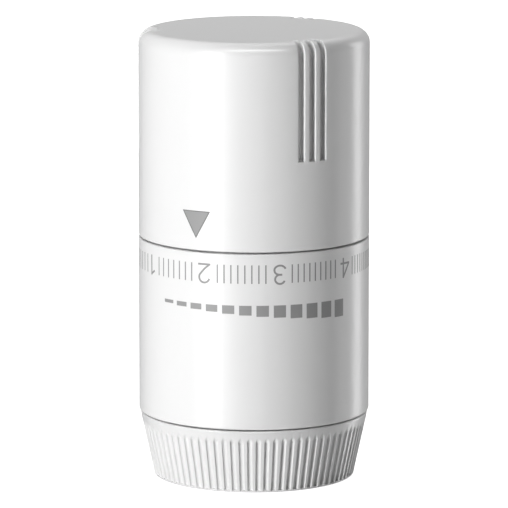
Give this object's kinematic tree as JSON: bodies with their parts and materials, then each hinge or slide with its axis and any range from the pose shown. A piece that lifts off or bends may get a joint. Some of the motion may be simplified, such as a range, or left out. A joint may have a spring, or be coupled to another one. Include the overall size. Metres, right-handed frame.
{
  "type": "thermostatic radiator valve head",
  "caption": "Slim cylindrical thermostatic radiator head with a turning handle, a printed setting scale, a liquid sensor inside and a loose fluted union nut.",
  "frame": {"origin": "centre of the union nut's open face, which the head stands on", "axes": "+Z runs along the head's axis from the union nut to the handle's top; -Y faces the middle of the printed scale; +X is to the right of someone facing the scale"},
  "size_m": [0.04, 0.04, 0.078],
  "materials": {
    "white_plastic": "satin",
    "white_nut": "satin",
    "inner_plastic": "satin",
    "dark_plastic": "satin",
    "plunger_plastic": "satin",
    "spring_steel": "satin",
    "sensor_aluminium": "satin",
    "bellows_brass": "satin",
    "copper_tube": "satin",
    "seal_rubber": "satin",
    "grey_print": "satin"
  },
  "bodies": {
    "base": {"base_body": "inner_plastic", "nut_snap_ring": "spring_steel", "scale_sleeve": "white_plastic", "sleeve_screws": "spring_steel", "stop_ring": "dark_plastic", "friction_ring": "seal_rubber", "handle_snap_ring": "spring_steel", "plunger_guide": "dark_plastic", "guide_clip": "spring_steel", "return_spring": "spring_steel"},
    "union_nut": {"union_nut": "white_nut"},
    "handle": {"handle_shell": "white_plastic", "drive_sleeve": "inner_plastic"},
    "carrier": {"sensor_carrier": "dark_plastic", "carrier_cap": "dark_plastic", "cap_clip": "spring_steel", "overtravel_spring": "spring_steel"},
    "sensor": {"sensor_shell": "sensor_aluminium", "sensor_end_plate": "sensor_aluminium", "stem_bush": "inner_plastic", "fill_stub": "copper_tube", "spring_seat": "dark_plastic", "sensor_bellows": "bellows_brass"},
    "piston": {"sensor_piston": "bellows_brass", "plunger": "plunger_plastic", "plunger_button": "spring_steel"}
  },
  "joints": [
    {"name": "nut_spin", "type": "hinge", "parent": "base", "child": "union_nut", "pos_m": [0, 0, 0.005], "axis": [0, 0, 1], "continuous": true},
    {"name": "handle_turn", "type": "hinge", "parent": "base", "child": "handle", "pos_m": [0, 0, 0.043], "axis": [0, 0, 1], "range_deg": [-80, 118]},
    {"name": "carrier_climb", "type": "slide", "parent": "handle", "child": "carrier", "axis": [0, 0, 1], "range_m": [-0.0018, 0.00265]},
    {"name": "sensor_overtravel", "type": "slide", "parent": "carrier", "child": "sensor", "axis": [0, 0, 1], "range_m": [0, 0.002], "stiffness_N_per_m": 800, "springref_m": -0.002, "deforming": ["overtravel_spring"]},
    {"name": "piston_stroke", "type": "slide", "parent": "sensor", "child": "piston", "axis": [0, 0, -1], "range_m": [-0.0015, 0.0025], "stiffness_N_per_m": 400, "deforming": ["sensor_bellows", "return_spring"]}
  ],
  "couplings": [
    {"joint": "carrier_climb", "follows": "handle_turn", "m_per_rad": 0.0012732}
  ]
}
